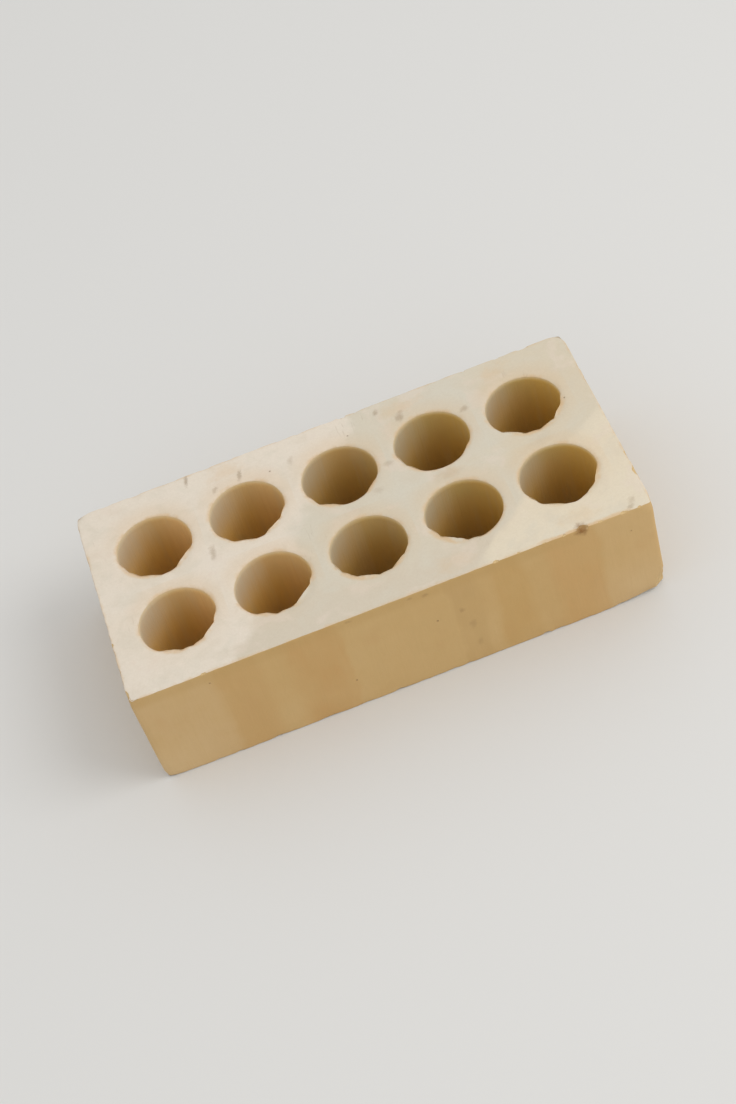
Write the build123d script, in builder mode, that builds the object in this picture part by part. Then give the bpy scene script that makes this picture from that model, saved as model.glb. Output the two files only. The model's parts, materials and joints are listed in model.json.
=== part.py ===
from build123d import *
from math import sqrt
import os

# Ten-hole facing brick of pale fired clay, lying flat on its lower bed.
# X runs along the brick, Y across it and Z up. The origin is the centre of the lower bed.
# Sizes are in millimetres.

# Outer size of the fired brick
length = 210.0
width = 100.0
height = 53.0

# Round holes from bed to bed, spread from the middle of the brick
hole_diameter = 30.0
hole_pitch_along = 39.0
hole_pitch_across = 40.0

# Edges: the die rounds the upright ones, the wire cuts the rest and handling wears them
die_corner_radius = 1.5
bed_edge_radius = 0.6
hole_rim_chamfer = 0.4

# Corner knocked off at the foot of the right-hand front edge: how far the break reaches along
# each of the three edges that met there, and the radius of its hollow face
break_along = 5.5
break_across = 5.0
break_high = 14.0
break_hollow_radius = 30.0

# As many holes as the brick has room for, each in the middle of its own cell of clay
holes_along = int(length // hole_pitch_along)
holes_across = int(width // hole_pitch_across)

# The hollow face is part of a ball that stands clear of the corner and passes through three points
corner = Vector(length / 2, -width / 2, 0)
break_left = corner - Vector(break_along, 0, 0)
break_back = corner + Vector(0, break_across, 0)
break_top = corner + Vector(0, 0, break_high)
break_rim = Edge.make_three_point_arc(break_left, break_top, break_back)
out_of_brick = (break_left - break_top).cross(break_back - break_top).normalized()
ball_offset = sqrt(break_hollow_radius**2 - break_rim.radius**2)
ball_centre = break_rim.arc_center + out_of_brick * ball_offset

with BuildPart() as brick:
    # The column of clay as the die lets it out, cut by the wire at the height of one brick
    with BuildSketch() as die_opening:
        Rectangle(length, width)
        fillet(die_opening.vertices(), radius=die_corner_radius)
        with GridLocations(hole_pitch_along, hole_pitch_across, holes_along, holes_across):
            Circle(hole_diameter / 2, mode=Mode.SUBTRACT)
    extrude(amount=height)

    # Rims of the holes in both beds
    lower_bed, *_, upper_bed = brick.faces().sort_by(Axis.Z)
    rims = lower_bed.inner_wires() + upper_bed.inner_wires()
    chamfer([rim.edge() for rim in rims], length=hole_rim_chamfer)

    # Edges around both beds
    lower_bed, *_, upper_bed = brick.faces().sort_by(Axis.Z)
    outlines = lower_bed.outer_wire().edges() + upper_bed.outer_wire().edges()
    fillet(outlines, radius=bed_edge_radius)

    # The missing corner
    with Locations(ball_centre):
        Sphere(break_hollow_radius, mode=Mode.SUBTRACT)

brick.part.label = "brick"

os.makedirs("parts", exist_ok=True)
export_step(brick.part, "parts/brick.step")
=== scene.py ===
"""A ten-hole facing brick of pale fired clay, lying flat on a pale studio floor.

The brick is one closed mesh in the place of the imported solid. Half of it is modelled from the upper bed
down to the middle of its height and mirrored. Then the wire's lips, the wear, the knocked-off corner and
the chips are drawn and cut into it, and each skin of the clay gets its own finish.
"""

import json
import logging
import math
import random
from collections.abc import Callable, Iterator
from contextlib import contextmanager
from dataclasses import dataclass, field
from enum import Enum
from functools import reduce
from typing import Any

import bmesh
import bpy
from mathutils import Matrix, Vector


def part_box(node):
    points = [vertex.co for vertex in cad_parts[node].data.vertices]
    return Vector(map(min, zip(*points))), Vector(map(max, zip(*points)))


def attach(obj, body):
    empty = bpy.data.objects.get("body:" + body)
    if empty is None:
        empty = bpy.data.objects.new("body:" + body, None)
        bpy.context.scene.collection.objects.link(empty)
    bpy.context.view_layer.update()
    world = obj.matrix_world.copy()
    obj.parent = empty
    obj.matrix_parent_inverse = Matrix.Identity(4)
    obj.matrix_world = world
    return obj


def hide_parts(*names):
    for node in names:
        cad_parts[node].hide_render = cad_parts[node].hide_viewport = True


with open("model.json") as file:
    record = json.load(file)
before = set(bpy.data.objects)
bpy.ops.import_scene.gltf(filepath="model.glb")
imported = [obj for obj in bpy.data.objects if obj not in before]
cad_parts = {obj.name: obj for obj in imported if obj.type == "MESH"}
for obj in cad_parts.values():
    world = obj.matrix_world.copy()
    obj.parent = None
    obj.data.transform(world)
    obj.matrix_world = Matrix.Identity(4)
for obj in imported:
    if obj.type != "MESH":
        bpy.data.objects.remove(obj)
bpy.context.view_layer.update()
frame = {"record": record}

log = logging.getLogger("brick")

MM = 0.001
# A length and a share of a move that are as good as nothing, and the least upward tilt of a level face
HAIR = 0.01 * MM
LEAST_SHARE = 0.001
LEAST_TILT = 0.5


# Work in edit mode


class Pick(Enum):
    """What a selection in edit mode is made of."""

    VERTS = "VERT"
    EDGES = "EDGE"
    FACES = "FACE"


def take(piece: bpy.types.Object) -> None:
    """Selects one piece and nothing else, and makes it the active one.

    Args:
        piece: the object.
    """
    bpy.ops.object.select_all(action="DESELECT")
    piece.select_set(True)
    bpy.context.view_layer.objects.active = piece


@contextmanager
def editing(piece: bpy.types.Object) -> Iterator[None]:
    """Opens one piece in edit mode with nothing selected, and closes it again.

    Args:
        piece: the mesh object to edit.
    """
    take(piece)
    bpy.ops.object.mode_set(mode="EDIT")
    bpy.ops.mesh.select_all(action="DESELECT")
    try:
        yield
    finally:
        bpy.ops.object.mode_set(mode="OBJECT")


def select(pick: Pick, test: Callable[[Any], bool]) -> int:
    """Selects, in edit mode, the vertices, edges or faces that pass a test, and nothing else.

    Args:
        pick: which kind is tested.
        test: says yes or no to one vertex, edge or face.

    Returns:
        How many were selected.
    """
    bpy.ops.mesh.select_mode(type=pick.value)
    bpy.ops.mesh.select_all(action="DESELECT")
    data = bpy.context.edit_object.data
    shape = bmesh.from_edit_mesh(data)
    kinds = {Pick.VERTS: shape.verts, Pick.EDGES: shape.edges, Pick.FACES: shape.faces}
    chosen = [part for part in kinds[pick] if test(part)]
    for part in chosen:
        part.select_set(True)
    bmesh.update_edit_mesh(data)
    return len(chosen)


def middle(part: Any) -> Vector:
    """The middle of an edge or a face, from its vertices."""
    return sum((vert.co for vert in part.verts), Vector()) / len(part.verts)


def is_open(edge: Any) -> bool:
    """Whether an edge has a face on one side at most."""
    return len(edge.link_faces) < 2


def face_outward() -> None:
    """Turns all faces of the piece in edit mode outward."""
    bpy.ops.mesh.select_all(action="SELECT")
    bpy.ops.mesh.normals_make_consistent(inside=False)


def settled() -> bpy.types.Object:
    """Puts the place and size of a new primitive into its mesh, and gives the primitive."""
    bpy.ops.object.transform_apply(location=True, rotation=True, scale=True)
    return bpy.context.active_object


def add_ball(
    detail: int, radius: float, centre: Vector, stretch: tuple[float, ...] | Vector = (1.0, 1.0, 1.0)
) -> bpy.types.Object:
    """Adds a ball of triangles.

    Args:
        detail: how finely it is divided.
        radius: its radius.
        centre: its middle.
        stretch: how many times longer it is along each axis.

    Returns:
        The ball.
    """
    bpy.ops.object.select_all(action="DESELECT")
    bpy.ops.mesh.primitive_ico_sphere_add(subdivisions=detail, radius=radius, location=centre)
    bpy.context.active_object.scale = stretch
    return settled()


# Modifiers


@dataclass(frozen=True)
class Clouds:
    """A cloudy texture that makes a move ragged.

    A cloud is `size` wide and has `depth` finer layers. Where its strength, from 0 to 1, is no more than
    `none` the texture is at its `least`, and from `full` on it is 1.
    """

    name: str
    size: float
    depth: int = 2
    none: float = 0.0
    full: float = 1.0
    least: float = 0.0

    def texture(self) -> bpy.types.Texture:
        """Makes the texture as a Displace modifier reads it.

        Returns:
            The texture.
        """
        texture = bpy.data.textures.new(self.name, "CLOUDS")
        texture.noise_scale = self.size
        texture.noise_depth = self.depth
        texture.use_color_ramp = True
        low, high = texture.color_ramp.elements
        low.position, high.position = self.none, self.full
        low.color = (self.least, self.least, self.least, 1.0)
        return texture


@dataclass(frozen=True)
class Rub:
    """How handling rubbed one kind of place: how deep, how far around it, and where more than elsewhere.

    An endless reach rubs everywhere alike.
    """

    depth: float
    reach: float
    clouds: Clouds


def apply_modifier(piece: bpy.types.Object, kind: str, **settings: Any) -> None:
    """Adds one modifier to a piece, sets it and applies it to the mesh.

    Args:
        piece: the mesh object.
        kind: Blender's name for the modifier, such as ARRAY.
        **settings: the modifier's settings.
    """
    modifier = piece.modifiers.new(kind.title(), kind)
    for name, value in settings.items():
        setattr(modifier, name, value)
    bpy.context.view_layer.objects.active = piece
    bpy.ops.object.modifier_apply(modifier=modifier.name)


def roughen(piece: bpy.types.Object, height: float, texture: bpy.types.Texture) -> None:
    """Makes the skin of a piece rough, in and out by half the height."""
    apply_modifier(
        piece, "DISPLACE", strength=height, mid_level=0.5, texture=texture, texture_coords="LOCAL"
    )


def displace(
    piece: bpy.types.Object,
    shares: list[tuple[int, float]],
    way: str,
    most: float,
    texture: bpy.types.Texture | None,
) -> None:
    """Moves vertices of a piece one way, each by its share.

    Args:
        piece: the mesh object.
        shares: the vertices' numbers and their shares of the move, from 0 to 1.
        way: an axis or NORMAL.
        most: the whole move, in metres.
        texture: makes the move ragged, or None.
    """
    shares = [(index, share) for index, share in shares if share > LEAST_SHARE]
    if not shares:
        return
    group = piece.vertex_groups.new(name="moved")
    for index, share in shares:
        group.add([index], min(share, 1.0), "REPLACE")
    apply_modifier(
        piece, "DISPLACE", direction=way, strength=most, mid_level=0.0, vertex_group=group.name,
        texture=texture, texture_coords="LOCAL",
    )
    piece.vertex_groups.clear()


def pull(
    piece: bpy.types.Object,
    move_at: Callable[[Vector], Vector | None],
    most: float,
    clouds: Clouds | None = None,
) -> None:
    """Moves the vertices of a piece by small distances that depend on their place.

    Args:
        piece: the mesh object.
        move_at: gives the move at a place, in metres, or None where there is none.
        most: the longest move along one axis.
        clouds: what makes the move ragged, if anything does.
    """
    moves = [(vertex.index, move_at(vertex.co)) for vertex in piece.data.vertices]
    moves = [(index, move) for index, move in moves if move is not None]
    texture = clouds.texture() if clouds else None
    for axis, letter in enumerate("XYZ"):
        for sign in (1, -1):
            shares = [(index, sign * move[axis] / most) for index, move in moves]
            displace(piece, shares, letter, sign * most, texture)


def fade(distance: float, reach: float) -> float:
    """Falls smoothly from 1 at no distance to 0 at the reach."""
    share = min(max(1 - distance / reach, 0.0), 1.0)
    return share * share * (3 - 2 * share)


def erode(piece: bpy.types.Object, rub: Rub, distance_at: Callable[[Vector], float]) -> None:
    """Takes an uneven layer off a piece, along its normals and never outward.

    Args:
        piece: the mesh object.
        rub: how it was rubbed.
        distance_at: gives how far a place is from what was rubbed.
    """
    shares = [(vertex.index, fade(distance_at(vertex.co), rub.reach)) for vertex in piece.data.vertices]
    displace(piece, shares, "NORMAL", -rub.depth, rub.clouds.texture())


# The clay


class Skin(Enum):
    """The kinds of surface that the clay shows, each a material slot of the mesh."""

    BED = 0
    SIDE = 1
    WALL = 2
    BREAK = 3


@dataclass(frozen=True)
class Hole:
    """One hole of the brick, from bed to bed."""

    name: str
    x: float
    y: float
    radius: float

    def bearing(self, place: Vector) -> tuple[float, float]:
        """The distance of a place from the hole's axis, and its angle in degrees from the front."""
        east, south = place.x - self.x, self.y - place.y
        return math.hypot(east, south), math.degrees(math.atan2(east, south))


@dataclass
class ClayBody:
    """The brick's clay as one closed mesh, at the size and with the holes that the frame gives."""

    length: float
    width: float
    height: float
    holes: list[Hole]
    facets: int = 128
    corner_segments: int = 4
    corner_radius: float = 1.5 * MM
    arris_radius: float = 0.6 * MM
    rim_radius: float = 0.4 * MM
    rim_rings: tuple[float, ...] = (0.5 * MM, 0.7 * MM, 1.0 * MM)
    cell_rings: int = 4
    margin_rings: int = 4
    edge_rings: tuple[float, ...] = (2.4 * MM, 1.6 * MM, 1.0 * MM, 0.0)
    rows_below: tuple[float, ...] = (
        1.0 * MM, 1.8 * MM, 3.0 * MM, 4.6 * MM, 7.0 * MM, 10.5 * MM, 15.0 * MM, 20.5 * MM
    )

    @classmethod
    def from_frame(cls) -> "ClayBody":
        """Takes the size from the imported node's box and the holes from the record's bores.

        Returns:
            The brick's clay, not yet modelled.
        """
        low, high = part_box("brick")
        bores = [mount for mount in frame["record"]["mounts"] if mount["kind"] == "bore"]
        holes = [Hole(bore["name"], *bore["pos_m"][:2], bore["dims"]["r_mm"] * MM) for bore in bores]
        return cls(*(high - low), holes)

    @property
    def columns(self) -> list[float]:
        """The holes' places along the brick, from left to right."""
        return sorted({round(hole.x, 6) for hole in self.holes})

    @property
    def rows(self) -> list[float]:
        """The holes' places across the brick, from front to back."""
        return sorted({round(hole.y, 6) for hole in self.holes})

    @property
    def pitch(self) -> tuple[float, float]:
        """The distance between neighbouring holes along and across the brick."""
        return self.columns[1] - self.columns[0], self.rows[1] - self.rows[0]

    def nearest(self, place: Vector) -> Hole:
        """The hole whose axis is nearest to a place."""
        return min(self.holes, key=lambda hole: (hole.x - place.x) ** 2 + (hole.y - place.y) ** 2)

    def build(self) -> bpy.types.Object:
        """Models the sound brick, before any wear.

        Returns:
            The closed mesh, with its lower bed on the floor.
        """
        clay = self.cell()
        for step in (self.repeat, self.edge, self.draw_down, self.ease, self.mirror):
            step(clay)
        return clay

    def cell(self) -> bpy.types.Object:
        """Models one hole's cell of the upper bed, flat, from the hole's rim out to a rectangle.

        Returns:
            The cell.
        """
        along, across = self.pitch
        centre = Vector((self.columns[0], self.rows[0], self.height / 2))
        radius = self.holes[0].radius
        bpy.ops.object.select_all(action="DESELECT")
        bpy.ops.mesh.primitive_circle_add(vertices=self.facets, radius=radius, location=centre)
        cell = settled()
        with editing(cell):
            bpy.ops.mesh.select_all(action="SELECT")
            for step in self.rim_rings:
                growth = (radius + step) / radius
                bpy.ops.mesh.extrude_region_move()
                bpy.ops.transform.resize(value=(growth, growth, 1), center_override=centre)
                radius += step
            rim = radius - step / 2
            self.draw_rectangle(along, across, centre)
            select(Pick.EDGES, lambda edge: edge.is_wire)
            bpy.ops.mesh.subdivide(number_cuts=self.facets // 4 - 1)
            select(Pick.EDGES, lambda edge: is_open(edge) and (middle(edge) - centre).length > rim)
            self.join_loops(self.cell_rings)
        return cell

    def draw_rectangle(self, along: float, across: float, centre: Vector) -> None:
        """Draws a bare rectangle above the bed, where a bridge pairs its vertices rightly.

        Args:
            along: its size along the brick.
            across: its size across the brick.
            centre: the middle of the loop that it will be joined to.
        """
        bpy.ops.mesh.select_all(action="DESELECT")
        above = Vector((centre.x, centre.y, self.height))
        bpy.ops.mesh.primitive_plane_add(size=1, location=above)
        bpy.ops.transform.resize(value=(along, across, 1), center_override=above)
        bpy.ops.mesh.delete(type="ONLY_FACE")

    def join_loops(self, rings: int) -> None:
        """Bridges the two selected loops with some rings and lays everything flat on the bed.

        Args:
            rings: how many rings there are between them.
        """
        bpy.ops.mesh.bridge_edge_loops(number_cuts=rings, interpolation="LINEAR")
        bpy.ops.mesh.select_all(action="SELECT")
        bpy.ops.transform.resize(value=(1, 1, 0), center_override=(0, 0, self.height / 2))

    def repeat(self, bed: bpy.types.Object) -> None:
        """Lays the cells side by side, one for each hole.

        Args:
            bed: the first cell, which becomes all of them.
        """
        along, across = self.pitch
        for count, offset in ((len(self.columns), (along, 0, 0)), (len(self.rows), (0, across, 0))):
            apply_modifier(
                bed, "ARRAY", count=count, use_relative_offset=False, use_constant_offset=True,
                constant_offset_displace=offset, use_merge_vertices=True, merge_threshold=HAIR,
            )

    def edge(self, bed: bpy.types.Object) -> None:
        """Carries the bed from the block of cells out to the brick's outline.

        Args:
            bed: the block of cells.
        """
        along, across = self.pitch
        counts = (len(self.columns), len(self.rows))
        half = (along * counts[0] / 2 - HAIR, across * counts[1] / 2 - HAIR)
        inset = self.edge_rings[0]
        length, width = self.length - 2 * inset, self.width - 2 * inset
        centre = Vector((0, 0, self.height / 2))
        straight = 10 * self.corner_radius

        def on_block(edge: Any) -> bool:
            """Whether an open edge lies on the outside of the block of cells."""
            place = middle(edge)
            return is_open(edge) and (abs(place.x) > half[0] or abs(place.y) > half[1])

        with editing(bed):
            self.draw_rectangle(length, width, centre)
            select(Pick.VERTS, lambda vert: not vert.link_faces)
            bpy.ops.mesh.bevel(offset=self.corner_radius, segments=self.corner_segments, affect="VERTICES")
            for axis, count in enumerate(counts):
                select(Pick.EDGES, lambda edge: edge.is_wire
                       and abs(edge.verts[0].co[axis] - edge.verts[1].co[axis]) > straight)
                bpy.ops.mesh.subdivide(number_cuts=self.facets // 4 * count - self.corner_segments - 1)
            select(Pick.EDGES, on_block)
            self.join_loops(self.margin_rings)
            for ring in self.edge_rings[1:]:
                new = (self.length - 2 * ring, self.width - 2 * ring)
                select(Pick.EDGES, on_block)
                bpy.ops.mesh.extrude_region_move()
                bpy.ops.transform.resize(value=(new[0] / length, new[1] / width, 1), center_override=centre)
                length, width = new

    def draw_down(self, clay: bpy.types.Object) -> None:
        """Draws the outline and the rims down to the middle of the brick's height.

        Args:
            clay: the whole upper bed.
        """
        depth = 0.0
        with editing(clay):
            select(Pick.EDGES, is_open)
            for row in (*self.rows_below, self.height / 2):
                bpy.ops.mesh.extrude_region_move(TRANSFORM_OT_translate={"value": (0, 0, depth - row)})
                depth = row

    def ease(self, clay: bpy.types.Object) -> None:
        """Eases the arris around the bed and the rims of the holes.

        Args:
            clay: the upper half of the brick.
        """
        top = self.height / 2 - HAIR
        reach = (self.length / 2 - self.corner_radius, self.width / 2 - self.corner_radius)

        def turns_down(edge: Any) -> bool:
            """Whether an edge lies between the bed and an upright face."""
            tilts = [abs(face.normal.z) for face in edge.link_faces]
            return middle(edge).z > top and len(tilts) == 2 and max(tilts) - min(tilts) > LEAST_TILT

        def at_outline(edge: Any) -> bool:
            """Whether an edge lies on the brick's outline."""
            place = middle(edge)
            return abs(place.x) > reach[0] or abs(place.y) > reach[1]

        with editing(clay):
            face_outward()
            select(Pick.EDGES, lambda edge: turns_down(edge) and at_outline(edge))
            bpy.ops.mesh.bevel(offset=self.arris_radius, segments=3, affect="EDGES")
            select(Pick.EDGES, lambda edge: turns_down(edge) and not at_outline(edge))
            bpy.ops.mesh.bevel(offset=self.rim_radius, segments=2, affect="EDGES")

    def mirror(self, clay: bpy.types.Object) -> None:
        """Adds the lower half and stands the brick on the floor.

        Args:
            clay: the upper half of the brick.
        """
        apply_modifier(
            clay, "MIRROR", use_axis=(False, False, True), use_mirror_merge=True, merge_threshold=HAIR
        )
        with editing(clay):
            face_outward()
            bpy.ops.transform.translate(value=(0, 0, self.height / 2))


# The wear


@dataclass(frozen=True)
class Lip:
    """Clay that the cutting wire drew over part of a rim, so that it runs straight across the circle.

    Its bearing, and its spread to each side, are in degrees from the front. Its depth and the softness
    of its ends are in millimetres.
    """

    bearing: float
    depth: float
    softness: float = 0.25
    spread: float = 60.0

    def inset(self, radius: float, bearing: float) -> float:
        """How far the lip stands inside the circle in one direction.

        Args:
            radius: the hole's radius.
            bearing: the direction, in degrees from the front.

        Returns:
            The distance in metres, nearly 0 where the lip doesn't reach.
        """
        turn = math.radians(min(abs(bearing - self.bearing), self.spread))
        straight = radius - (radius - self.depth * MM) / math.cos(turn)
        return (straight + math.hypot(straight, self.softness * MM)) / 2


@dataclass(frozen=True)
class Flake:
    """A flake gone from the front of the upper bed, where it shows.

    Its place along the brick, its radius and its bite are in millimetres. It is stretched along the arris.
    """

    x: float
    radius: float
    bite: float
    stretch: float


@dataclass(frozen=True)
class Chip:
    """The lump that takes one flake off an arris: where it lies, how far it bites and how long it is."""

    place: Vector
    outward: Vector
    radius: float
    bite: float
    stretch: Vector


@dataclass(frozen=True)
class Arris:
    """An arris by the way it faces, and the number of places along it where a flake may have gone.

    The places lie along its run, which goes from the start on, or along all of it.
    """

    outward: tuple[int, int, int]
    places: int
    start: float = 0.0
    run: float | None = None


@dataclass
class Wear:
    """What the cutting wire and rough handling did to the sound brick."""

    body: ClayBody
    clay: bpy.types.Object
    fresh: bpy.types.Material
    lips: dict[str, tuple[Lip, ...]] = field(default_factory=lambda: {
        "hole_front_1": (Lip(-22, 1.1), Lip(2, 0.8), Lip(22, 0.9), Lip(44, 1.2), Lip(68, 0.9)),
        "hole_front_2": (Lip(-26, 1.1), Lip(2, 0.8), Lip(22, 0.8), Lip(42, 1.6), Lip(66, 0.8)),
        "hole_front_3": (
            Lip(-70, 0.8), Lip(-46, 1.0), Lip(-20, 1.3), Lip(8, 0.6), Lip(37, 0.9), Lip(54, 0.5)
        ),
        "hole_front_4": (Lip(-64, 1.1), Lip(-34, 1.8), Lip(-4, 0.9), Lip(24, 0.4)),
        "hole_front_5": (Lip(-64, 0.7), Lip(-26, 0.8), Lip(38, 0.6), Lip(64, 1.0)),
        "hole_back_1": (Lip(-68, 0.9), Lip(-46, 0.9), Lip(-22, 1.0), Lip(43, 1.2)),
        "hole_back_2": (Lip(-50, 0.6), Lip(-17, 0.8), Lip(33, 1.1), Lip(60, 0.8)),
        "hole_back_3": (Lip(-66, 0.6), Lip(-28, 0.9), Lip(45, 0.8)),
        "hole_back_4": (Lip(-72, 0.8), Lip(-50, 0.8), Lip(50, 0.6)),
        "hole_back_5": (Lip(-32, 1.3), Lip(-6, 0.9), Lip(22, 1.1), Lip(50, 1.3), Lip(70, 0.8)),
    })
    lip_thickness: float = 5.0 * MM
    lip_reach: float = 3.0 * MM
    lip_limit: float = 3.0 * MM
    lip_clouds: Clouds = Clouds("ragged_lip", 3.2 * MM, none=0.3, full=0.7, least=0.82)
    torn_hole: str = "hole_front_5"
    torn_bearing: float = 6.0
    torn_spread: float = 14.0
    torn_depth: float = 1.0 * MM
    uneven: Rub = Rub(0.25 * MM, math.inf, Clouds("uneven", 32 * MM, depth=1))
    arris_rub: Rub = Rub(0.7 * MM, 2.2 * MM, Clouds("arris", 4.5 * MM, depth=3, none=0.48, full=0.85))
    corner_rub: Rub = Rub(
        1.3 * MM, 7 * MM, Clouds("corner", 9 * MM, depth=1, none=0.2, full=0.6, least=0.5)
    )
    rim_rub: Rub = Rub(0.8 * MM, 2.0 * MM, Clouds("rim", 3.0 * MM, none=0.35, full=0.8, least=0.75))
    foot_run: float = 30 * MM
    foot_reach: float = 6 * MM
    foot_move: tuple[float, float, float] = (0.0, 0.9 * MM, 1.5 * MM)
    foot_limit: float = 2.0 * MM
    break_along: float = 5.5 * MM
    break_across: float = 5.0 * MM
    break_high: float = 14.0 * MM
    break_radius: float = 30.0 * MM
    break_span: float = 12.0 * MM
    break_detail: int = 6
    break_roughness: float = 0.8 * MM
    break_clouds: Clouds = Clouds("broken", 3.6 * MM, depth=3, none=0.15, full=0.85)
    flakes: tuple[Flake, ...] = (
        Flake(76.7, 1.9, 1.7, 1.3), Flake(84.2, 1.2, 0.75, 1.6), Flake(93.6, 1.3, 0.9, 1.9),
        Flake(99.8, 0.9, 0.7, 1.4), Flake(69.4, 0.9, 0.65, 1.5), Flake(61.2, 0.7, 0.5, 2.0),
        Flake(51.0, 0.8, 0.55, 1.6),
    )
    flake_clouds: Clouds = Clouds("flake", 0.9 * MM, depth=3, none=0.15, full=0.85)
    flake_roughness: float = 0.35
    flake_detail: int = 3
    arrises: tuple[Arris, ...] = (
        Arris((0, -1, 1), 13, run=150 * MM), Arris((0, 1, 1), 17), Arris((-1, 0, 1), 8),
        Arris((1, 0, 1), 9), Arris((0, -1, -1), 12, run=180 * MM), Arris((0, 1, -1), 12),
        Arris((-1, 0, -1), 6), Arris((1, 0, -1), 5, 10 * MM, 80 * MM), Arris((-1, -1, 0), 4),
        Arris((-1, 1, 0), 4), Arris((1, 1, 0), 4), Arris((1, -1, 0), 3, 18 * MM, 30 * MM),
    )
    share_gone: float = 0.45
    random_radii: tuple[float, float] = (0.6 * MM, 1.7 * MM)
    random_bites: tuple[float, float] = (0.4 * MM, 1.3 * MM)
    random_stretches: tuple[float, float] = (0.2, 1.2)
    upright_bite: float = 0.35 * MM
    seed: int = 11

    def put_on(self) -> None:
        """Wears the sound brick."""
        for step in (self.draw_lips, self.weather, self.lift_foot, self.knock_off_corner, self.chip):
            step()

    def draw_lips(self) -> None:
        """Draws clay over the front of each rim of the upper bed, as the wire left it."""
        pull(self.clay, self.lip_move, self.lip_limit, self.lip_clouds)

    def lip_move(self, place: Vector) -> Vector | None:
        """How one place moves towards its hole's axis, or away from it where the rim is torn.

        Args:
            place: a place on the sound brick.

        Returns:
            The move, or None out of the lips' reach.
        """
        below = self.body.height - place.z
        hole = self.body.nearest(place)
        distance, bearing = hole.bearing(place)
        if below > self.lip_thickness or distance > hole.radius + self.lip_reach:
            return None
        inset = max(lip.inset(hole.radius, bearing) for lip in self.lips[hole.name])
        if hole.name == self.torn_hole:
            inset -= self.torn_depth * fade(abs(bearing - self.torn_bearing), self.torn_spread)
        share = fade(below, self.lip_thickness) * fade(max(distance - hole.radius, 0.0), self.lip_reach)
        return Vector((hole.x - place.x, hole.y - place.y, 0)) / distance * inset * share

    def weather(self) -> None:
        """Makes the faces slightly uneven and rubs the arrises, corners and rims."""
        half = Vector((self.body.length / 2, self.body.width / 2, self.body.height / 2))

        def inside(place: Vector) -> tuple[float, float, float]:
            """How far a place lies inside the brick's box along each axis."""
            return half.x - abs(place.x), half.y - abs(place.y), half.z - abs(place.z - half.z)

        def from_arris(place: Vector) -> float:
            """How far a place on the outside is from an arris."""
            x, y, z = inside(place)
            return max(min(x + y, y + z, z + x), 0.0)

        def from_corner(place: Vector) -> float:
            """How far a place is from one of the eight corners."""
            return sum(max(way, 0.0) for way in inside(place))

        def from_rim(place: Vector) -> float:
            """How far a place is from the rim of a hole."""
            hole = self.body.nearest(place)
            return abs(hole.bearing(place)[0] - hole.radius) + inside(place)[2]

        for rub, distance_at in (
            (self.uneven, from_arris),
            (self.arris_rub, from_arris),
            (self.corner_rub, from_corner),
            (self.rim_rub, from_rim),
        ):
            erode(self.clay, rub, distance_at)

    def lift_foot(self) -> None:
        """Rubs the foot of the front away towards the knocked-off corner."""
        front, right = -self.body.width / 2, self.body.length / 2
        run, reach, move = self.foot_run, self.foot_reach, Vector(self.foot_move)

        def rubbed(place: Vector) -> Vector | None:
            """The move up and back of one place at the foot of the front."""
            share = fade(right - place.x, run) * fade(place.z + max(place.y - front, 0.0), reach)
            return move * share if share > 0 and place.y < front + reach else None

        pull(self.clay, rubbed, self.foot_limit)

    def knock_off_corner(self) -> None:
        """Breaks off the foot of the right-hand front edge with a rough ball through three points."""
        top = Vector((self.body.length / 2, -self.body.width / 2, self.break_high))
        left = Vector((-self.break_along, 0, -self.break_high))
        back = Vector((0, self.break_across, -self.break_high))
        normal = left.cross(back)
        to_centre = (left.length_squared * back - back.length_squared * left).cross(normal)
        to_centre /= 2 * normal.length_squared
        rise = math.sqrt(self.break_radius ** 2 - to_centre.length_squared)
        centre = top + to_centre + normal.normalized() * rise
        low_point = centre - normal.normalized() * self.break_radius

        ball = add_ball(self.break_detail, self.break_radius, centre)
        with editing(ball):
            select(Pick.FACES, lambda face: (middle(face) - low_point).length < self.break_span)
            bpy.ops.mesh.subdivide(number_cuts=1)
        roughen(ball, self.break_roughness, self.break_clouds.texture())
        self.cut(ball)

    def chip(self) -> None:
        """Takes flakes off the arrises: the ones that show, and smaller ones at random."""
        lumps = []
        texture = self.flake_clouds.texture()
        for chip in (*self.shown_chips(), *self.random_chips()):
            centre = chip.place + chip.outward.normalized() * (chip.radius - chip.bite)
            lump = add_ball(self.flake_detail, chip.radius, centre, chip.stretch)
            roughen(lump, self.flake_roughness * chip.radius, texture)
            lumps.append(lump)
        take(lumps[0])
        for lump in lumps:
            lump.select_set(True)
        bpy.ops.object.join()
        self.cut(lumps[0])

    def shown_chips(self) -> list[Chip]:
        """Lists the lumps for the flakes that show.

        Returns:
            The lumps.
        """
        chips = []
        for flake in self.flakes:
            place = Vector((flake.x * MM, -self.body.width / 2, self.body.height))
            stretch = Vector((flake.stretch, 1, 1))
            chips.append(Chip(place, Vector((0, -1, 1)), flake.radius * MM, flake.bite * MM, stretch))
        return chips

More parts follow.
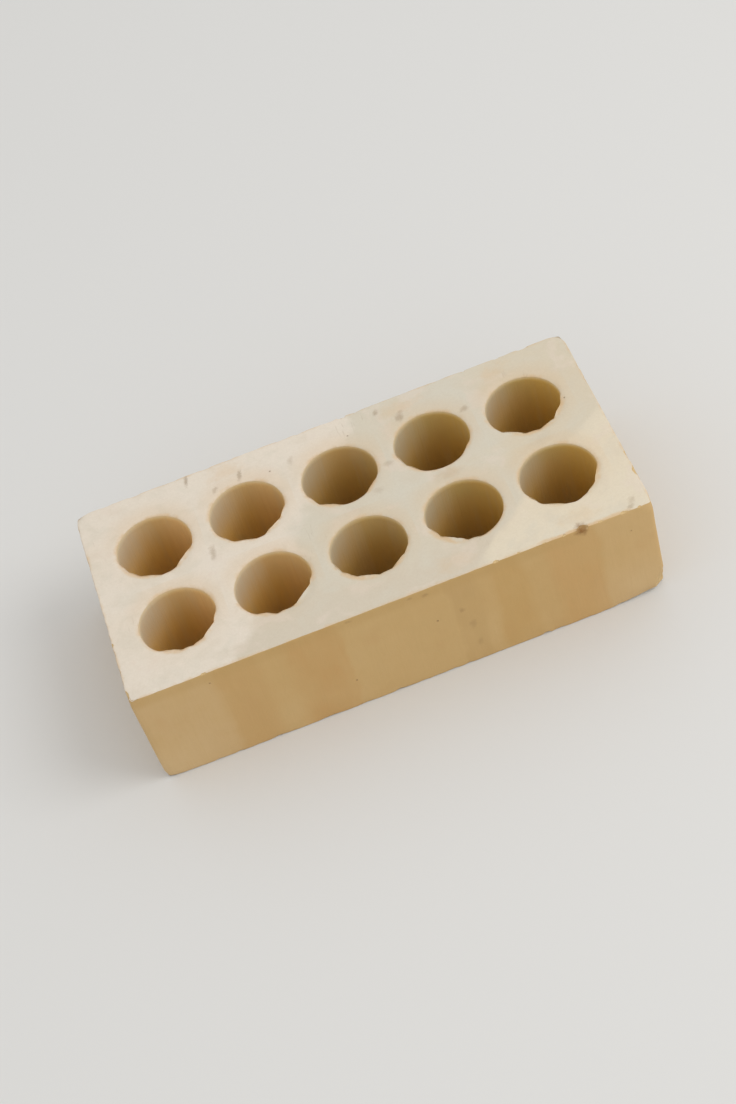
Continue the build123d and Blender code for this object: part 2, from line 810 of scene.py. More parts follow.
    def random_chips(self) -> list[Chip]:
        """Draws lots for smaller flakes along the arrises, and lists the lumps for those that went.

        Returns:
            The lumps.
        """
        half = Vector((self.body.length, self.body.width, self.body.height)) / 2
        centre = Vector((0, 0, half.z))
        chips = []
        draw = random.Random(self.seed)
        for arris in self.arrises:
            outward, way = Vector(arris.outward), Vector([1 - abs(part) for part in arris.outward])
            start = centre + half * (outward - way) + way * arris.start
            run = arris.run or 2 * half.dot(way)
            for number in range(arris.places):
                along = (number + draw.uniform(0.25, 0.75)) / arris.places * run
                size = draw.random() ** 3
                gone, longer = draw.random() < self.share_gone, draw.uniform(*self.random_stretches)
                if not gone:
                    continue
                ranges = (self.random_radii, self.random_bites)
                radius, bite = (low + (high - low) * size for low, high in ranges)
                if way.z:
                    bite += self.upright_bite
                place, stretch = start + way * along, Vector((1, 1, 1)) + way * longer
                chips.append(Chip(place, outward, radius, bite, stretch))
        return chips

    def cut(self, tool: bpy.types.Object) -> None:
        """Takes one shape off the brick and throws the shape away.

        Args:
            tool: the shape that is taken off.
        """
        tool.data.materials.clear()
        tool.data.materials.append(self.fresh)
        apply_modifier(self.clay, "BOOLEAN", operation="DIFFERENCE", object=tool, solver="MANIFOLD")
        take(tool)
        bpy.ops.object.delete()


# Finishes


Paint = tuple[float, float, float, float]


def paint(red: int, green: int, blue: int) -> Paint:
    """Turns a colour as a picture shows it, 0 to 255, into the linear colour that a shader takes."""
    linear = [((c / 255 + 0.055) / 1.055) ** 2.4 if c > 10 else c / 255 / 12.92 for c in (red, green, blue)]
    return (*linear, 1.0)


class Value:
    """One number inside a finish, with which a finish can reckon as with a number in Python."""

    def __init__(self, recipe: "Recipe", socket: bpy.types.NodeSocket) -> None:
        """Wraps one output of a node."""
        self.recipe = recipe
        self.socket = socket

    def __add__(self, other: "Value | float") -> "Value":
        """The sum."""
        return self.recipe.math("ADD", self, other)

    __radd__ = __add__

    def __mul__(self, other: "Value | float") -> "Value":
        """The product."""
        return self.recipe.math("MULTIPLY", self, other)

    __rmul__ = __mul__

    def __sub__(self, other: "Value | float") -> "Value":
        """The difference."""
        return self.recipe.math("SUBTRACT", self, other)

    def __rsub__(self, other: "Value | float") -> "Value":
        """The difference, the other way round."""
        return self.recipe.math("SUBTRACT", other, self)

    def __pow__(self, other: "Value | float") -> "Value":
        """The power."""
        return self.recipe.math("POWER", self, other)

    def __abs__(self) -> "Value":
        """The size without its sign."""
        return self.recipe.math("ABSOLUTE", self)

    def least(self, other: "Value | float") -> "Value":
        """The smaller of two."""
        return self.recipe.math("MINIMUM", self, other)

    def most(self, *others: "Value | float") -> "Value":
        """The largest of all."""
        return reduce(lambda most, other: self.recipe.math("MAXIMUM", most, other), others, self)

    def sway(self, width: float) -> "Value":
        """Turns noise into a swing about nothing, through a width."""
        return (self - 0.5) * width

    def step(self, start: float, end: float) -> "Value":
        """Goes smoothly from 0 at the start to 1 at the end, which may be the smaller.

        Args:
            start: the number up to which it is 0.
            end: the number from which it is 1.

        Returns:
            The share of the way.
        """
        inputs = {"Value": self, "From Min": start, "From Max": end, "To Min": 0.0, "To Max": 1.0}
        node = self.recipe.node("ShaderNodeMapRange", {"interpolation_type": "SMOOTHSTEP"}, inputs)
        return Value(self.recipe, node.outputs["Result"])


class Nodes:
    """The nodes of a material or of the world."""

    def __init__(self, tree: bpy.types.NodeTree) -> None:
        """Takes the tree that they go in."""
        self.tree = tree

    def node(
        self, kind: str, settings: dict[str, Any] | None = None, inputs: dict[str | int, Any] | None = None
    ) -> bpy.types.Node:
        """Adds one node.

        Args:
            kind: the node's type.
            settings: its settings, made before its inputs.
            inputs: its inputs by name or number, each a number, a colour, a socket or a Value.

        Returns:
            The node.
        """
        node = self.tree.nodes.new(kind)
        for name, setting in (settings or {}).items():
            setattr(node, name, setting)
        for name, value in (inputs or {}).items():
            self.feed(node.inputs[name], value)
        return node

    def feed(self, socket: bpy.types.NodeSocket, value: Any) -> None:
        """Links a socket or Value to an input, or sets the input to a constant.

        Args:
            socket: the input.
            value: what it gets.
        """
        if isinstance(value, Value):
            value = value.socket
        if isinstance(value, bpy.types.NodeSocket):
            self.tree.links.new(value, socket)
        else:
            socket.default_value = value


class Recipe(Nodes):
    """The nodes of one finish."""

    def __init__(self, name: str) -> None:
        """Starts a material with nothing but its shader.

        Args:
            name: the material's name.
        """
        self.material = bpy.data.materials.new(name)
        self.material.use_nodes = True
        super().__init__(self.material.node_tree)
        self.shader = self.tree.nodes["Principled BSDF"]
        self.place = self.node("ShaderNodeTexCoord").outputs["Object"]
        axes = self.node("ShaderNodeSeparateXYZ", {}, {"Vector": self.place})
        self.x, self.y, self.z = (Value(self, axes.outputs[axis]) for axis in "XYZ")

    def math(self, operation: str, *inputs: "Value | float") -> Value:
        """Reckons with one or two numbers."""
        node = self.node("ShaderNodeMath", {"operation": operation}, dict(enumerate(inputs)))
        return Value(self, node.outputs[0])

    def moved(self, shift: float, scale: tuple[float, ...]) -> bpy.types.NodeSocket:
        """The place on the brick, scaled and moved aside, for a texture to read."""
        inputs = {"Vector": self.place, "Location": (shift, shift / 3, shift / 7), "Scale": scale}
        return self.node("ShaderNodeMapping", {}, inputs).outputs[0]

    def noise(
        self, size: float, detail: float = 2.0, rough: float = 0.5, shift: float = 0.0,
        stretch: tuple[float, float, float] = (1.0, 1.0, 1.0), bend: float = 0.0,
    ) -> Value:
        """Cloudy noise between 0 and 1, with its middle at a half.

        Args:
            size: the width of one cloud, in metres.
            detail: how many finer layers are added.
            rough: how strong those are.
            shift: moves the noise, so that no two are alike.
            stretch: how many times longer its clouds are along each axis.
            bend: how much it is distorted.

        Returns:
            The noise.
        """
        place = self.moved(shift, tuple(1 / (size * way) for way in stretch))
        inputs = {"Vector": place, "Scale": 1.0, "Detail": detail, "Roughness": rough, "Distortion": bend}
        return Value(self, self.node("ShaderNodeTexNoise", {}, inputs).outputs[0])

    def specks(self, size: float, radius: float, shift: float, keep: float) -> Value:
        """Scattered spots: 1 inside a spot and 0 outside.

        Args:
            size: how far apart the places for spots are.
            radius: the radius of a spot, as a share of that distance.
            shift: moves the spots, so that no two sets are alike.
            keep: the share of the places that has a spot.

        Returns:
            The spots.
        """
        inputs = {"Vector": self.moved(shift, (1 / size,) * 3), "Scale": 1.0}
        cells = self.node("ShaderNodeTexVoronoi", {"feature": "F1"}, inputs)
        lot = self.node("ShaderNodeSeparateColor", {}, {"Color": cells.outputs["Color"]})
        chosen = Value(self, lot.outputs[0]).step(keep + 0.01, keep - 0.01)
        return Value(self, cells.outputs["Distance"]).step(radius, radius * 0.6) * chosen

    def spot(
        self, place: tuple[float, float, float], reach: tuple[float, float, float], turn: float = 0.0,
        ragged: float = 0.5,
    ) -> Value:
        """One soft spot with a ragged outline: 1 in its middle and 0 outside.

        Args:
            place: its middle, in metres.
            reach: how far it reaches along its own three axes, in metres.
            turn: how far it is turned about the upright, in degrees.
            ragged: how much its outline wanders, as a share of its reach.

        Returns:
            The spot.
        """
        inputs = {
            "Vector": self.place, "Location": place, "Rotation": (0, 0, math.radians(turn)), "Scale": reach
        }
        mapping = self.node("ShaderNodeMapping", {"vector_type": "TEXTURE"}, inputs)
        length = self.node("ShaderNodeVectorMath", {"operation": "LENGTH"}, {0: mapping.outputs[0]})
        crumbs = self.noise(min(reach[:2]) * 1.2, detail=4, rough=0.75, shift=sum(place) / MM)
        away = Value(self, length.outputs["Value"]) + crumbs.sway(4 * ragged)
        return away.step(1.1, 0.1)

    def mix(self, share: "Value | float", first: Any, second: Any) -> bpy.types.NodeSocket:
        """Mixes two colours.

        Args:
            share: how much of the second there is, from 0 to 1.
            first: a colour or a colour socket.
            second: a colour or a colour socket.

        Returns:
            The mixed colour.
        """
        node = self.node("ShaderNodeMix", {"data_type": "RGBA", "clamp_factor": True})
        sockets = {(socket.name, socket.type): socket for socket in node.inputs}
        self.feed(sockets["Factor", "VALUE"], share)
        self.feed(sockets["A", "RGBA"], first)
        self.feed(sockets["B", "RGBA"], second)
        return next(socket for socket in node.outputs if socket.type == "RGBA")

    def coats(self, colour: Any, *coats: tuple["Value | float", Any]) -> bpy.types.NodeSocket:
        """Lays coats over a colour, one after another.

        Args:
            colour: the colour beneath them.
            *coats: how much of each one shows, from 0 to 1, and its colour.

        Returns:
            The colour on top.
        """
        for share, coat in coats:
            colour = self.mix(share, colour, coat)
        return colour

    def finish(self, colour: Any, roughness: float, relief: Value) -> bpy.types.Material:
        """Connects the finish to its shader.

        Args:
            colour: the colour of the surface.
            roughness: its roughness.
            relief: its height in metres, for what is too fine to model.

        Returns:
            The material.
        """
        bump = self.node("ShaderNodeBump", {}, {"Strength": 1.0, "Distance": 1.0, "Height": relief})
        inputs = {
            "Base Color": colour, "Roughness": roughness, "Specular IOR Level": 0.25,
            "Normal": bump.outputs["Normal"],
        }
        for name, value in inputs.items():
            self.feed(self.shader.inputs[name], value)
        return self.material


def from_own_hole(recipe: Recipe, body: ClayBody) -> tuple[Value, Value]:
    """Where a place lies from the axis of its own hole.

    Args:
        recipe: the finish in the making.
        body: the brick's clay.

    Returns:
        The distance along the brick and the one across it.
    """
    along, across = body.pitch
    block = along * len(body.columns) / 2
    x = recipe.x.least(block).most(-block)
    own_x = recipe.math("FLOORED_MODULO", x + along / 2, along) - along / 2
    return own_x, recipe.y - recipe.math("SIGN", recipe.y) * (across / 2)


@dataclass(frozen=True)
class Band:
    """A strip of the stretcher that took another colour in the kiln, between two places along it."""

    start: float
    end: float
    fade_in: float
    fade_out: float
    colour: Paint
    strength: float


@dataclass(frozen=True)
class Mark:
    """A soft spot on one face: its middle, its size and its turn there, in millimetres and degrees."""

    x: float
    y: float
    length: float
    width: float
    turn: float
    strength: float

    def on_bed(self, recipe: Recipe, body: ClayBody) -> Value:
        """How strongly it shows at each place of the upper bed."""
        place, reach = (self.x * MM, self.y * MM, body.height), (self.length * MM, self.width * MM, 4 * MM)
        return recipe.spot(place, reach, self.turn) * self.strength

    def on_front(self, recipe: Recipe, body: ClayBody) -> Value:
        """How strongly it shows at each place of the front, where it isn't turned."""
        place = (self.x * MM, -body.width / 2, self.y * MM)
        return recipe.spot(place, (self.length * MM, 6 * MM, self.width * MM)) * self.strength


@dataclass(frozen=True)
class Melt:
    """The spot of iron that melted out on the front arris of the upper bed."""

    place: tuple[float, float, float] = (76.5 * MM, -49.6 * MM, 52.2 * MM)
    reach: tuple[float, float, float] = (3.6 * MM, 3.4 * MM, 3.9 * MM)
    colour: Paint = paint(134, 94, 50)
    strength: float = 0.95

    def coat(self, recipe: Recipe) -> tuple[Value, Paint]:
        """How much of the iron shows at each place, and its colour."""
        return recipe.spot(self.place, self.reach, ragged=0.4) * self.strength, self.colour


@dataclass(frozen=True)
class BedFinish:
    """The bed: pale cream clay, smeared by the cutting wire, with broad patches of painted light and shade.
    """

    body: ClayBody
    dim: Paint = paint(210, 203, 186)
    # Painted light on the left part of the bed
    sunlit_cream: Paint = paint(226, 215, 199)
    brown: Paint = paint(208, 196, 176)
    sand: Paint = paint(212, 200, 177)
    # Painted light on the front-right corner of the bed
    sunlit_honey: Paint = paint(223, 211, 188)
    rose: Paint = paint(223, 208, 192)
    peach: Paint = paint(213, 180, 136)
    fleck: Paint = paint(152, 130, 102)
    roughness: float = 0.92
    melt: Melt = Melt()
    marks: tuple[Mark, ...] = (
        Mark(-58, 47, 4.0, 1.1, 80, 0.7), Mark(-57, 5.5, 5.0, 1.7, 84, 0.5),
        Mark(-37, 39.5, 4.0, 1.2, 75, 0.6), Mark(-48, 36.8, 2.6, 1.3, 60, 0.45),
        Mark(23, 45, 1.9, 1.4, 60, 0.6), Mark(31.5, 38, 4.0, 2.2, 60, 0.6),
        Mark(56, 29.5, 2.6, 1.7, 30, 0.5), Mark(20, 16.5, 2.8, 2.0, 0, 0.35),
        Mark(-16, 37, 3.2, 1.5, 70, 0.3), Mark(12, 5, 2.8, 2.0, 20, 0.25),
        Mark(98, -45.5, 2.8, 1.8, 55, 0.35), Mark(96.6, -48.2, 2.2, 1.2, 20, 0.5),
        # The last three are broad, faint darker patches between the front and back holes
        Mark(39.5, 0.5, 7.0, 4.5, 0, 0.2), Mark(0, 0, 6.0, 4.0, 0, 0.1), Mark(78, 0, 6.0, 4.0, 0, 0.12),
    )
    blushes: tuple[Mark, ...] = (
        Mark(78, -43, 10.0, 6.0, 0, 0.26), Mark(28, -43, 10.0, 6.0, 0, 0.22),
        Mark(33, 43, 12.0, 6.0, 0, 0.34), Mark(-42, 43, 10.0, 6.0, 0, 0.3),
        Mark(73, 42, 10.0, 6.0, 0, 0.32), Mark(40, 0, 9.0, 5.0, 0, 0.36),
    )

    def material(self) -> bpy.types.Material:
        """Mixes the bed's colours and its fine relief.

        Returns:
            The material.
        """
        recipe = Recipe("clay_bed")
        x, y = recipe.x, recipe.y
        small = recipe.noise(9 * MM, detail=4, rough=0.6, shift=8.4)
        wobble = recipe.noise(3 * MM, detail=3, rough=0.6, shift=4.2).sway(2.2 * MM)
        own_x, own_y = from_own_hole(recipe, self.body)
        from_rim = (own_x * own_x + own_y * own_y) ** 0.5 - self.body.holes[0].radius
        from_edge = (self.body.width / 2 - abs(y)).least(self.body.length / 2 - abs(x))

        # The blush: broad round the holes and most behind them, in a few more places, and thin at edges
        behind = (own_y + own_x * 0.4).step(-10 * MM, 14 * MM)
        blush = (from_rim + wobble + small.sway(6 * MM)).step(11 * MM, 1 * MM)
        blush = blush * (0.08 + 0.2 * behind)
        blush = blush.most(*(mark.on_bed(recipe, self.body) for mark in self.blushes))
        near = (from_rim.least(from_edge + 0.6 * MM) + wobble).step(2.2 * MM, 0.2 * MM)

        # Scratches that follow the wire, scuffs, three broad darker patches between the front and back
        # holes, flecks and the bare front arris
        streak = recipe.noise(1.0 * MM, detail=2, shift=5.5, stretch=(1.0, 9.0, 1.0))
        patch = recipe.noise(24 * MM, detail=1, shift=9.2)
        scratch = streak.step(0.64, 0.74) * patch.step(0.52, 0.68)
        scuff = (x * 0.0).most(*(mark.on_bed(recipe, self.body) for mark in self.marks))
        fleck = recipe.specks(12 * MM, 0.05, 2.3, 0.3)
        bare = (y + wobble).step(-48.1 * MM, -49.3 * MM) * x.step(52 * MM, 66 * MM)
        bare = bare * x.step(98 * MM, 88 * MM)
        grain = recipe.noise(0.8 * MM, detail=3, rough=0.7, shift=1.7)
        colour = recipe.coats(
            self.patches(recipe, small),
            (blush, self.peach),
            (near * small.step(0.38, 0.6) * 0.65, self.peach),
            (scratch * 0.12, self.fleck),
            (scuff * 0.8, self.fleck),
            (fleck * 0.6, self.fleck),
            (bare * 0.75, self.peach),
            self.melt.coat(recipe),
            (grain.sway(0.25) + 0.06, self.fleck),
        )
        relief = grain * (0.05 * MM) + small * (0.12 * MM) - scratch * (0.05 * MM)
        relief = relief - fleck * (0.25 * MM) - scuff * (0.2 * MM)
        return recipe.finish(colour, self.roughness, relief)

    def patches(self, recipe: Recipe, small: Value) -> bpy.types.NodeSocket:
        """Paints the bed's broad patches: painted light on the left part and the front-right corner,
        painted shade on the right back, a browner strip along the front, and random clouds and mottles.

        Args:
            recipe: the finish in the making.
            small: fine clouds.

        Returns:
            The colour.
        """
        x, y = recipe.x, recipe.y
        cloud = recipe.noise(42 * MM, detail=3, rough=0.55, shift=3.1, bend=0.6)
        blotch = recipe.noise(17 * MM, detail=3, rough=0.6, shift=12.6, bend=0.3)
        mottle = recipe.noise(13 * MM, detail=3, rough=0.6, shift=17.3, bend=0.4)
        wander = cloud.sway(60 * MM) + blotch.sway(48 * MM) + small.sway(14 * MM)
        front_strip = (y + wander * 0.6).step(-30 * MM, -39 * MM)
        # Painted shade on the right back, painted light on the left part and on the front-right corner
        shaded_right_back = (x + wander).step(52 * MM, 78 * MM) * (y + wander * 0.5).step(-14 * MM, 0.0)
        left = (x - y * 0.83 + wander).step(-19 * MM, -36 * MM)
        corner = ((x - 33 * MM) * 0.76 - (y + 48 * MM) + wander * 0.15).step(-1.5 * MM, 2.5 * MM)
        corner = corner * (x + wander * 0.3).step(30 * MM, 42 * MM)
        corner = corner * (y - x * 0.45 + wander * 0.3).step(-31 * MM, -50 * MM)
        return recipe.coats(
            self.dim,
            (cloud.step(0.35, 0.65) * 0.4, self.sand),
            (front_strip * 0.8, self.brown),
            (shaded_right_back * 0.8, self.sand),
            (left * 0.95, self.sunlit_cream),
            (corner * 0.95, self.sunlit_honey),
            (mottle.step(0.5, 0.68) * 0.35, self.dim),
            (mottle.step(0.47, 0.34) * 0.4, self.rose),
            (small.step(0.5, 0.68) * 0.25, self.brown),
        )


@dataclass(frozen=True)
class SideFinish:
    """The stretchers and headers: the die's buff skin, flashed in bands by the kiln, darker and more yellow
    than the bed partly as painted shade and warm bounce light.
    """

    body: ClayBody
    # Partly the die's own buff and partly painted shade and warm bounce light
    buff: Paint = paint(200, 166, 112)
    pale: Paint = paint(204, 172, 120)
    rose: Paint = paint(193, 154, 103)
    green: Paint = paint(188, 158, 103)
    # Painted shade for the strip under the bed, and painted light for the foot of both ends
    shade: Paint = paint(190, 156, 100)
    foot: Paint = paint(212, 184, 140)
    fleck: Paint = paint(134, 104, 72)
    roughness: float = 0.88
    melt: Melt = Melt()
    marks: tuple[Mark, ...] = (
        Mark(24.5, 33, 1.4, 1.8, 0, 0.45), Mark(27, 23, 2.0, 3.0, 0, 0.35), Mark(28, 11, 1.5, 2.4, 0, 0.3),
        Mark(12.6, 49.4, 2.0, 1.1, 0, 0.5), Mark(-17.9, 50.8, 1.7, 0.9, 0, 0.4),
        Mark(6.5, 50.6, 1.4, 0.9, 0, 0.4),
    )
    bands: tuple[Band, ...] = (
        Band(-105, -74, 4, 8, paint(204, 173, 126), 0.85),
        Band(-70, -58, 6, 7, paint(197, 160, 106), 0.8),
        Band(-40, -24, 9, 3, paint(197, 158, 103), 0.95),
        Band(-20, 20, 3, 6, paint(201, 169, 116), 0.7),
        Band(23, 30, 3, 5, paint(193, 160, 108), 0.75),
        Band(41, 50, 5, 5, paint(196, 159, 101), 0.8),
        Band(65, 79, 6, 4, paint(201, 162, 107), 0.9),
        Band(84, 105, 4, 6, paint(206, 173, 122), 0.9),
    )

    def material(self) -> bpy.types.Material:
        """Mixes the sides' colours and their fine relief.

        Returns:
            The material.
        """
        recipe = Recipe("clay_side")
        x, y, z = recipe.x, recipe.y, recipe.z
        cloud = recipe.noise(38 * MM, detail=3, shift=2.2, bend=0.4)
        small = recipe.noise(7 * MM, detail=4, rough=0.6, shift=6.1)
        blotch = recipe.noise(16 * MM, detail=2, rough=0.55, shift=14.8, stretch=(1.0, 1.0, 1.6))
        run = x + (y + self.body.width / 2) * 0.9 + cloud.sway(9 * MM) + (z - 26 * MM) * 0.05
        run = run + blotch.sway(7 * MM) + small.sway(3 * MM)
        uneven = 0.55 + 0.45 * blotch.step(0.3, 0.6)
        flashes = []
        for band in self.bands:
            share = run.step((band.start - band.fade_in) * MM, band.start * MM)
            share = share * run.step((band.end + band.fade_out) * MM, band.end * MM)
            flashes.append((share * uneven * band.strength, band.colour))

        # The painted light on the foot of both ends, the painted shade in the strip under the bed, the
        # die's lines and the flecks
        foot = z.step(30 * MM, 8 * MM) * abs(x).step(70 * MM, 94 * MM)
        strip = z.step(45 * MM, 50 * MM) * run.step(84 * MM, 64 * MM)
        streak = recipe.noise(0.9 * MM, detail=3, rough=0.6, shift=4.4, stretch=(1.0, 1.0, 30.0))
        wide = recipe.noise(5 * MM, detail=2, shift=7.7, stretch=(1.0, 1.0, 12.0))
        fleck = recipe.specks(13 * MM, 0.05, 4.9, 0.3)
        fleck = fleck.most(*(mark.on_front(recipe, self.body) for mark in self.marks))
        grain = recipe.noise(0.7 * MM, detail=3, rough=0.7, shift=3.9)
        colour = recipe.coats(
            self.buff,
            (cloud.step(0.35, 0.7), self.pale),
            *flashes,
            (small.step(0.4, 0.75) * 0.15, self.green),
            (blotch.step(0.55, 0.75) * 0.3, self.rose),
            (foot * 0.5, self.foot),
            (strip * 0.5, self.shade),
            (streak.step(0.4, 0.8) * 0.14, self.green),
            (wide.step(0.45, 0.7) * 0.14, self.pale),
            (fleck * 0.6, self.fleck),
            self.melt.coat(recipe),
            (grain.sway(0.3) + 0.08, self.rose),
        )
        relief = grain * (0.05 * MM) + streak * (0.07 * MM) + wide * (0.1 * MM) - fleck * (0.2 * MM)
        return recipe.finish(colour, self.roughness, relief)


@dataclass(frozen=True)
class WallFinish:
    """The walls of the holes: the core's buff skin, drawn in fine upright lines, with painted light and
    shade: lighter in the left holes, more saturated deep down, greyed by painted sky light on the left of
    each wall and brighter on its right side.
    """

    body: ClayBody
    # Painted light and shade: the walls are lighter in the left holes than in the right ones
    left: Paint = paint(212, 176, 112)
    right: Paint = paint(193, 162, 88)
    # Painted shade and warm bounce light deep in the holes, brighter in the left holes
    core: Paint = paint(205, 166, 87)
    lit_left_core: Paint = paint(225, 184, 100)
    # Pale slip and painted sky light, the second brighter for the left holes
    slip_and_sky_light: Paint = paint(196, 185, 161)
    lit_left_smear: Paint = paint(208, 197, 174)
    rim: Paint = paint(213, 192, 152)
    warm: Paint = paint(206, 160, 92)
    # Painted light on the right side of each wall, first in the left holes, then in the right ones
    painted_glow: Paint = paint(240, 198, 134)
    painted_amber: Paint = paint(225, 178, 76)
    roughness: float = 0.9

    def material(self) -> bpy.types.Material:
        """Mixes the walls' colours and their fine relief.

        Returns:
            The material.
        """
        recipe = Recipe("clay_hole_wall")
        half = self.body.height / 2
        streak = recipe.noise(1.0 * MM, detail=3, rough=0.6, shift=2.9, stretch=(1.0, 1.0, 34.0))
        wide = recipe.noise(4 * MM, detail=2, shift=5.3, stretch=(1.0, 1.0, 12.0))
        cloud = recipe.noise(26 * MM, detail=2, shift=7.3)
        ripple = recipe.noise(1.3 * MM, detail=1, shift=3.8, stretch=(16.0, 16.0, 1.0))
        grain = recipe.noise(0.7 * MM, detail=3, rough=0.7, shift=6.6)
        below = half - abs(recipe.z - half)
        own_x, _ = from_own_hole(recipe, self.body)
        lit_left_holes = recipe.x.step(-12 * MM, -38 * MM)
        right_holes = recipe.x.step(20 * MM, 70 * MM)
        lit_right_wall = own_x.step(0.0, 12 * MM)

        # The wire dragged the bed's pale slip down the left of each wall, and painted sky light greys these
        # walls, which face the light
        slip_and_sky_light = (below + cloud * (6 * MM)).step(30 * MM, 4 * MM)
        slip_and_sky_light = slip_and_sky_light * (0.12 + 0.66 * own_x.step(3 * MM, -13 * MM))
        rim = (below + wide.sway(1 * MM)).step(2.0 * MM, 0.3 * MM)
        colour = recipe.coats(
            self.left,
            # Painted shade: darker from the left holes to the right ones
            (recipe.x.step(-60 * MM, 45 * MM), self.right),
            (cloud.step(0.35, 0.7) * 0.5, self.warm),
            # Painted shade and warm bounce light: more saturated deep down
            (below.step(5 * MM, 22 * MM) * 0.85, recipe.mix(lit_left_holes, self.core, self.lit_left_core)),
            (slip_and_sky_light, recipe.mix(lit_left_holes, self.slip_and_sky_light, self.lit_left_smear)),
            # Painted light on the right side of each wall
            (lit_right_wall * lit_left_holes * 0.75, self.painted_glow),
            (lit_right_wall * right_holes * 0.5, self.painted_amber),
            (wide.step(0.45, 0.7) * 0.12, self.slip_and_sky_light),
            (streak.step(0.4, 0.75) * 0.16, self.warm),
            (rim * 0.85, self.rim),
        )
        relief = grain * (0.05 * MM) + streak * (0.06 * MM) + wide * (0.1 * MM) + ripple * (0.04 * MM)
        return recipe.finish(colour, self.roughness, relief)


@dataclass(frozen=True)
class BreakFinish:
    """Clay laid bare by a break: coarse, dull and a little paler than the skin."""

    light: Paint = paint(211, 184, 136)
    dark: Paint = paint(198, 166, 116)
    roughness: float = 0.95
    melt: Melt = Melt()

    def material(self) -> bpy.types.Material:
        """Mixes the break's colours and its coarse relief.

        Returns:
            The material.
        """
        recipe = Recipe("clay_break")
        coarse = recipe.noise(1.6 * MM, detail=4, rough=0.65, shift=1.3)
        grit = recipe.specks(1.3 * MM, 0.28, 3.3, 0.3)
        colour = recipe.coats(
            self.light,
            (coarse.step(0.35, 0.65), self.dark),
            (grit * 0.25, self.dark),
            self.melt.coat(recipe),
        )
        return recipe.finish(colour, self.roughness, coarse * (0.3 * MM) + grit * (0.08 * MM))


# The part and the studio


@dataclass
class Brick:
    """The brick: its clay, its wear and its finishes."""

    body: ClayBody
    skin_depth: float = 1.0 * MM
    sharp: float = 40.0

    def build(self) -> bpy.types.Object:
        """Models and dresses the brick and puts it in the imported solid's place.

        Returns:
            The finished piece.
        """
        finishes = {
            Skin.BED: BedFinish(self.body).material(),
            Skin.SIDE: SideFinish(self.body).material(),
            Skin.WALL: WallFinish(self.body).material(),
            Skin.BREAK: BreakFinish().material(),
        }
        clay = self.body.build()
        clay.name = clay.data.name = "clay_brick"
        for skin in Skin:
            clay.data.materials.append(finishes[skin])
        self.share_out(clay)
        log.info("%s: sound, %d faces", clay.name, len(clay.data.polygons))
        Wear(self.body, clay, finishes[Skin.BREAK]).put_on()
        self.smooth(clay)
        log.info("%s: worn, %d faces", clay.name, len(clay.data.polygons))
        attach(clay, "root")
        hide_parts("brick")
        return clay

    def skin_of(self, face: Any) -> Skin:
        """The kind of surface that a face of the sound brick belongs to.

        Args:
            face: the face.

        Returns:
            Its kind.
        """
        place, half = middle(face), self.body.height / 2
        if abs(face.normal.z) > LEAST_TILT and abs(place.z - half) > half - self.skin_depth:
            return Skin.BED
        hole = self.body.nearest(place)
        return Skin.WALL if hole.bearing(place)[0] < hole.radius + self.skin_depth else Skin.SIDE

    def share_out(self, clay: bpy.types.Object) -> None:
        """Gives each face the finish of its kind of surface.

        Args:
            clay: the sound brick.
        """
        with editing(clay):
            for skin in (Skin.BED, Skin.SIDE, Skin.WALL):
                count = select(Pick.FACES, lambda face: self.skin_of(face) is skin)
                clay.active_material_index = skin.value
                bpy.ops.object.material_slot_assign()
                log.info("%s: %d faces", skin.name.lower(), count)

    def smooth(self, clay: bpy.types.Object) -> None:
        """Divides the cut faces and shades the brick smooth but for its sharp edges.

        Args:
            clay: the worn brick.
        """
        with editing(clay):
            select(Pick.FACES, lambda face: len(face.verts) > 4)
            bpy.ops.mesh.quads_convert_to_tris(quad_method="BEAUTY", ngon_method="BEAUTY")
            face_outward()
        take(clay)
        bpy.ops.object.shade_smooth_by_angle(angle=math.radians(self.sharp))


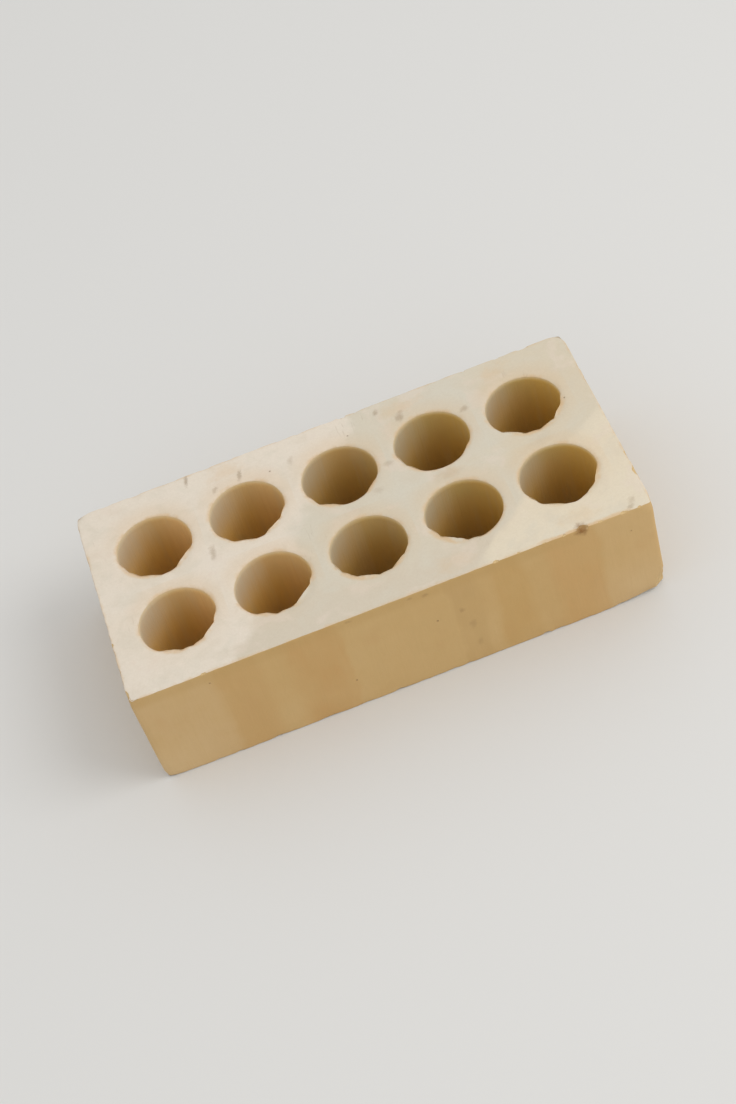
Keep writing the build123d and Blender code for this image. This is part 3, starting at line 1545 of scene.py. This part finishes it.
@dataclass
class Studio:
    """A pale floor under soft light, and the camera."""

    floor_paint: Paint = paint(218, 217, 214)
    backdrop: Paint = paint(222, 221, 218)
    sky: Paint = (1.0, 1.0, 1.0, 1.0)
    sky_strength: float = 0.82
    key_power: float = 8.5
    key_size: float = 1.0
    key_place: tuple[float, float, float] = (1.05, -0.45, 1.25)
    camera_place: tuple[float, float, float] = (-0.0251, -0.5579, 0.6719)
    camera_target: tuple[float, float, float] = (0.0, 0.0, 0.0265)
    camera_roll: float = -19.0
    lens: float = 70.0

    def build(self) -> None:
        """Sets up the floor, the light and the camera."""
        bpy.context.scene.view_settings.view_transform = "Standard"
        for step in (self.floor, self.world, self.key, self.camera):
            step()

    def floor(self) -> None:
        """Lays the floor."""
        bpy.ops.object.select_all(action="DESELECT")
        bpy.ops.mesh.primitive_plane_add(size=8.0, location=(0, 0, 0))
        floor = bpy.context.active_object
        floor.name = floor.data.name = "studio_floor"
        material = bpy.data.materials.new("studio_floor")
        material.use_nodes = True
        shader = material.node_tree.nodes["Principled BSDF"]
        inputs = {"Base Color": self.floor_paint, "Roughness": 0.9, "Specular IOR Level": 0.1}
        for name, value in inputs.items():
            shader.inputs[name].default_value = value
        floor.data.materials.append(material)

    def world(self) -> None:
        """Lights the scene softly from everywhere and shows the camera a pale backdrop."""
        world = bpy.data.worlds.new("studio")
        bpy.context.scene.world = world
        world.use_nodes = True
        world.node_tree.nodes.clear()
        nodes = Nodes(world.node_tree)
        path = nodes.node("ShaderNodeLightPath")
        lights = [
            nodes.node("ShaderNodeBackground", {}, {"Color": colour, "Strength": strength}).outputs[0]
            for colour, strength in ((self.sky, self.sky_strength), (self.backdrop, 1.0))
        ]
        inputs = dict(enumerate([path.outputs["Is Camera Ray"], *lights]))
        mix = nodes.node("ShaderNodeMixShader", {}, inputs)
        nodes.node("ShaderNodeOutputWorld", {}, {"Surface": mix.outputs[0]})

    def key(self) -> None:
        """Hangs one large soft lamp in front, up on the right."""
        bpy.ops.object.light_add(type="AREA", location=self.key_place)
        lamp = bpy.context.active_object
        lamp.name = "key"
        lamp.data.shape = "DISK"
        lamp.data.size = self.key_size
        lamp.data.energy = self.key_power
        lamp.rotation_euler = (-Vector(self.key_place)).to_track_quat("-Z", "Y").to_euler()

    def camera(self) -> None:
        """Places the camera where the photographer stood, turned to the brick and rolled as then."""
        place, target = Vector(self.camera_place), Vector(self.camera_target)
        look = (target - place).to_track_quat("-Z", "Y").to_matrix()
        roll = Matrix.Rotation(math.radians(self.camera_roll), 3, "Z")
        bpy.ops.object.camera_add(location=place, rotation=(look @ roll).to_euler())
        camera = bpy.context.active_object
        camera.name = "camera"
        camera.data.lens = self.lens
        camera.data.clip_start = 0.01
        bpy.context.scene.camera = camera


def main() -> None:
    """Builds the brick and the studio."""
    logging.basicConfig(level=logging.INFO, format="%(message)s")
    piece = Brick(ClayBody.from_frame()).build()
    log.info("built %s", piece.name)
    Studio().build()


if __name__ == "__main__":
    main()
